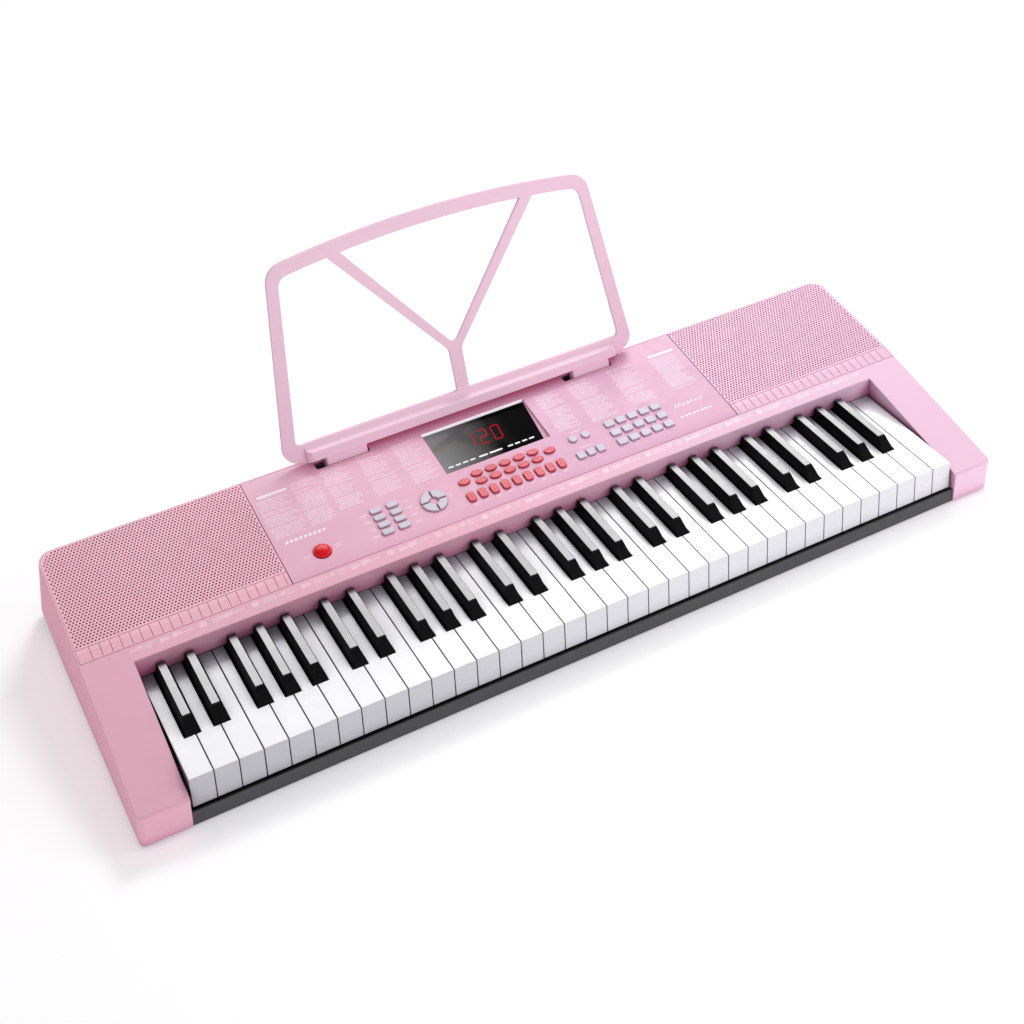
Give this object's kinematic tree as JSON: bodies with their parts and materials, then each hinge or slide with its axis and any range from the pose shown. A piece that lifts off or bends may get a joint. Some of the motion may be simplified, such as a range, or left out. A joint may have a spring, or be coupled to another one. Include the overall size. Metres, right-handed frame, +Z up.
{
  "type": "portable electronic keyboard",
  "caption": "Pink portable keyboard with full-width piano keys, button panel, digit display, perforated speaker grilles and a lift-out music rest.",
  "frame": {"origin": "centre of the overall footprint, on the desk plane under the rubber feet", "axes": "+X towards the high notes, +Y towards the rear, +Z up"},
  "size_m": [0.946, 0.37, 0.321],
  "materials": {
    "charcoal": "fine matt texture",
    "pink_case": "satin moulded",
    "pink_panel": "satin moulded",
    "pink_grille": "satin moulded, perforated",
    "pink_rest": "satin moulded",
    "display_glass": "polished smoked",
    "display_module": "black with lit digits",
    "frame_plastic": "moulded",
    "circuit_board": "solder mask",
    "silicone": "soft",
    "felt": "felt",
    "basket_black": "black",
    "cone_black": "paper pulp",
    "magnet_steel": "plated",
    "contact_steel": "nickel plated",
    "screw_steel": "zinc plated",
    "socket_black": "moulded",
    "foot_rubber": "soft",
    "key_white": "glossy",
    "key_black": "glossy",
    "power_red": "translucent",
    "button_coral": "soft satin",
    "button_grey": "soft satin"
  },
  "bodies": {
    "case": {"bottom_case": "charcoal", "top_case": "pink_case", "control_panel": "pink_panel", "grille_left": "pink_grille", "grille_right": "pink_grille", "display_window": "display_glass", "led_display": "display_module", "key_frame": "frame_plastic", "contact_board": "circuit_board", "rubber_contacts": "silicone", "key_felt": "felt", "main_board": "circuit_board", "panel_board": "circuit_board", "panel_membrane": "silicone", "speaker_basket_left": "basket_black", "speaker_basket_right": "basket_black", "speaker_cone_left": "cone_black", "speaker_cone_right": "cone_black", "speaker_magnet_left": "magnet_steel", "speaker_magnet_right": "magnet_steel", "battery_contacts": "contact_steel", "usb_socket": "contact_steel", "phones_jack": "socket_black", "rubber_feet": "foot_rubber", "case_screws": "screw_steel", "board_screws": "screw_steel"},
    "battery_cover": {"battery_door": "charcoal"},
    "sheet_rest": {"music_rest": "pink_rest"},
    "white_comb_1": {"white_comb_1": "key_white"},
    "white_comb_2": {"white_comb_2": "key_white"},
    "white_comb_4": {"white_comb_4": "key_white"},
    "white_comb_5": {"white_comb_5": "key_white"},
    "black_comb_1": {"black_comb_1": "key_black"},
    "black_comb_2": {"black_comb_2": "key_black"},
    "black_comb_4": {"black_comb_4": "key_black"},
    "black_comb_5": {"black_comb_5": "key_black"},
    "key_c": {"key_c": "key_white"},
    "key_d": {"key_d": "key_white"},
    "key_e": {"key_e": "key_white"},
    "key_f": {"key_f": "key_white"},
    "key_g": {"key_g": "key_white"},
    "key_a": {"key_a": "key_white"},
    "key_b": {"key_b": "key_white"},
    "key_c_sharp": {"key_c_sharp": "key_black"},
    "key_d_sharp": {"key_d_sharp": "key_black"},
    "key_f_sharp": {"key_f_sharp": "key_black"},
    "key_g_sharp": {"key_g_sharp": "key_black"},
    "key_a_sharp": {"key_a_sharp": "key_black"},
    "key_top_c": {"key_top_c": "key_white"},
    "power_button": {"power_button": "power_red"},
    "dpad_rear_left": {"dpad_rear_left": "button_grey"},
    "dpad_front_right": {"dpad_front_right": "button_grey"},
    "dpad_front_left": {"dpad_front_left": "button_grey"},
    "dpad_rear_right": {"dpad_rear_right": "button_grey"},
    "mode_buttons": {"mode_buttons": "button_grey"},
    "oval_buttons": {"oval_buttons": "button_coral"},
    "bar_buttons": {"bar_buttons": "button_coral"},
    "round_buttons": {"round_buttons": "button_grey"},
    "square_buttons": {"square_buttons": "button_grey"},
    "number_buttons": {"number_buttons": "button_grey"}
  },
  "joints": [
    {"name": "white_comb_1_press", "type": "hinge", "parent": "case", "child": "white_comb_1", "pos_m": [0, 0.0217, 0.046], "axis": [1, 0, 0], "range_deg": [0, 2.6], "stiffness_Nm_per_rad": 3, "springref_deg": -8.59},
    {"name": "white_comb_2_press", "type": "hinge", "parent": "case", "child": "white_comb_2", "pos_m": [0, 0.0217, 0.046], "axis": [1, 0, 0], "range_deg": [0, 2.6], "stiffness_Nm_per_rad": 3, "springref_deg": -8.59},
    {"name": "white_comb_4_press", "type": "hinge", "parent": "case", "child": "white_comb_4", "pos_m": [0, 0.0217, 0.046], "axis": [1, 0, 0], "range_deg": [0, 2.6], "stiffness_Nm_per_rad": 3, "springref_deg": -8.59},
    {"name": "white_comb_5_press", "type": "hinge", "parent": "case", "child": "white_comb_5", "pos_m": [0, 0.0217, 0.046], "axis": [1, 0, 0], "range_deg": [0, 2.6], "stiffness_Nm_per_rad": 3, "springref_deg": -8.59},
    {"name": "black_comb_1_press", "type": "hinge", "parent": "case", "child": "black_comb_1", "pos_m": [0, 0.0217, 0.046], "axis": [1, 0, 0], "range_deg": [0, 2.6], "stiffness_Nm_per_rad": 3, "springref_deg": -8.59},
    {"name": "black_comb_2_press", "type": "hinge", "parent": "case", "child": "black_comb_2", "pos_m": [0, 0.0217, 0.046], "axis": [1, 0, 0], "range_deg": [0, 2.6], "stiffness_Nm_per_rad": 3, "springref_deg": -8.59},
    {"name": "black_comb_4_press", "type": "hinge", "parent": "case", "child": "black_comb_4", "pos_m": [0, 0.0217, 0.046], "axis": [1, 0, 0], "range_deg": [0, 2.6], "stiffness_Nm_per_rad": 3, "springref_deg": -8.59},
    {"name": "black_comb_5_press", "type": "hinge", "parent": "case", "child": "black_comb_5", "pos_m": [0, 0.0217, 0.046], "axis": [1, 0, 0], "range_deg": [0, 2.6], "stiffness_Nm_per_rad": 3, "springref_deg": -8.59},
    {"name": "key_c_press", "type": "hinge", "parent": "case", "child": "key_c", "pos_m": [0, 0.0217, 0.046], "axis": [1, 0, 0], "range_deg": [0, 2.6], "stiffness_Nm_per_rad": 0.5, "springref_deg": -8.59},
    {"name": "key_d_press", "type": "hinge", "parent": "case", "child": "key_d", "pos_m": [0, 0.0217, 0.046], "axis": [1, 0, 0], "range_deg": [0, 2.6], "stiffness_Nm_per_rad": 0.5, "springref_deg": -8.59},
    {"name": "key_e_press", "type": "hinge", "parent": "case", "child": "key_e", "pos_m": [0, 0.0217, 0.046], "axis": [1, 0, 0], "range_deg": [0, 2.6], "stiffness_Nm_per_rad": 0.5, "springref_deg": -8.59},
    {"name": "key_f_press", "type": "hinge", "parent": "case", "child": "key_f", "pos_m": [0, 0.0217, 0.046], "axis": [1, 0, 0], "range_deg": [0, 2.6], "stiffness_Nm_per_rad": 0.5, "springref_deg": -8.59},
    {"name": "key_g_press", "type": "hinge", "parent": "case", "child": "key_g", "pos_m": [0, 0.0217, 0.046], "axis": [1, 0, 0], "range_deg": [0, 2.6], "stiffness_Nm_per_rad": 0.5, "springref_deg": -8.59},
    {"name": "key_a_press", "type": "hinge", "parent": "case", "child": "key_a", "pos_m": [0, 0.0217, 0.046], "axis": [1, 0, 0], "range_deg": [0, 2.6], "stiffness_Nm_per_rad": 0.5, "springref_deg": -8.59},
    {"name": "key_b_press", "type": "hinge", "parent": "case", "child": "key_b", "pos_m": [0, 0.0217, 0.046], "axis": [1, 0, 0], "range_deg": [0, 2.6], "stiffness_Nm_per_rad": 0.5, "springref_deg": -8.59},
    {"name": "key_c_sharp_press", "type": "hinge", "parent": "case", "child": "key_c_sharp", "pos_m": [0, 0.0217, 0.046], "axis": [1, 0, 0], "range_deg": [0, 2.6], "stiffness_Nm_per_rad": 0.5, "springref_deg": -8.59},
    {"name": "key_d_sharp_press", "type": "hinge", "parent": "case", "child": "key_d_sharp", "pos_m": [0, 0.0217, 0.046], "axis": [1, 0, 0], "range_deg": [0, 2.6], "stiffness_Nm_per_rad": 0.5, "springref_deg": -8.59},
    {"name": "key_f_sharp_press", "type": "hinge", "parent": "case", "child": "key_f_sharp", "pos_m": [0, 0.0217, 0.046], "axis": [1, 0, 0], "range_deg": [0, 2.6], "stiffness_Nm_per_rad": 0.5, "springref_deg": -8.59},
    {"name": "key_g_sharp_press", "type": "hinge", "parent": "case", "child": "key_g_sharp", "pos_m": [0, 0.0217, 0.046], "axis": [1, 0, 0], "range_deg": [0, 2.6], "stiffness_Nm_per_rad": 0.5, "springref_deg": -8.59},
    {"name": "key_a_sharp_press", "type": "hinge", "parent": "case", "child": "key_a_sharp", "pos_m": [0, 0.0217, 0.046], "axis": [1, 0, 0], "range_deg": [0, 2.6], "stiffness_Nm_per_rad": 0.5, "springref_deg": -8.59},
    {"name": "key_top_c_press", "type": "hinge", "parent": "case", "child": "key_top_c", "pos_m": [0, 0.0217, 0.046], "axis": [1, 0, 0], "range_deg": [0, 2.6], "stiffness_Nm_per_rad": 0.5, "springref_deg": -8.59},
    {"name": "power_button_press", "type": "slide", "parent": "case", "child": "power_button", "axis": [0, 0.1532, -0.9882], "range_m": [0, 0.0012], "stiffness_N_per_m": 400, "springref_m": -0.002},
    {"name": "dpad_rear_left_press", "type": "slide", "parent": "case", "child": "dpad_rear_left", "axis": [0, 0.1532, -0.9882], "range_m": [0, 0.0012], "stiffness_N_per_m": 400, "springref_m": -0.002},
    {"name": "dpad_front_right_press", "type": "slide", "parent": "case", "child": "dpad_front_right", "axis": [0, 0.1532, -0.9882], "range_m": [0, 0.0012], "stiffness_N_per_m": 400, "springref_m": -0.002},
    {"name": "dpad_front_left_press", "type": "slide", "parent": "case", "child": "dpad_front_left", "axis": [0, 0.1532, -0.9882], "range_m": [0, 0.0012], "stiffness_N_per_m": 400, "springref_m": -0.002},
    {"name": "dpad_rear_right_press", "type": "slide", "parent": "case", "child": "dpad_rear_right", "axis": [0, 0.1532, -0.9882], "range_m": [0, 0.0012], "stiffness_N_per_m": 400, "springref_m": -0.002},
    {"name": "mode_buttons_press", "type": "slide", "parent": "case", "child": "mode_buttons", "axis": [0, 0.1532, -0.9882], "range_m": [0, 0.0012], "stiffness_N_per_m": 400, "springref_m": -0.002},
    {"name": "oval_buttons_press", "type": "slide", "parent": "case", "child": "oval_buttons", "axis": [0, 0.1532, -0.9882], "range_m": [0, 0.0012], "stiffness_N_per_m": 400, "springref_m": -0.002},
    {"name": "bar_buttons_press", "type": "slide", "parent": "case", "child": "bar_buttons", "axis": [0, 0.1532, -0.9882], "range_m": [0, 0.0012], "stiffness_N_per_m": 400, "springref_m": -0.002},
    {"name": "round_buttons_press", "type": "slide", "parent": "case", "child": "round_buttons", "axis": [0, 0.1532, -0.9882], "range_m": [0, 0.0012], "stiffness_N_per_m": 400, "springref_m": -0.002},
    {"name": "square_buttons_press", "type": "slide", "parent": "case", "child": "square_buttons", "axis": [0, 0.1532, -0.9882], "range_m": [0, 0.0012], "stiffness_N_per_m": 400, "springref_m": -0.002},
    {"name": "number_buttons_press", "type": "slide", "parent": "case", "child": "number_buttons", "axis": [0, 0.1532, -0.9882], "range_m": [0, 0.0012], "stiffness_N_per_m": 400, "springref_m": -0.002},
    {"name": "battery_cover_remove", "type": "slide", "parent": "case", "child": "battery_cover", "axis": [0, 0, -1], "range_m": [0, 0.03]},
    {"name": "sheet_rest_lift", "type": "slide", "parent": "case", "child": "sheet_rest", "axis": [0, 0.284, 0.9588], "range_m": [0, 0.04]}
  ]
}
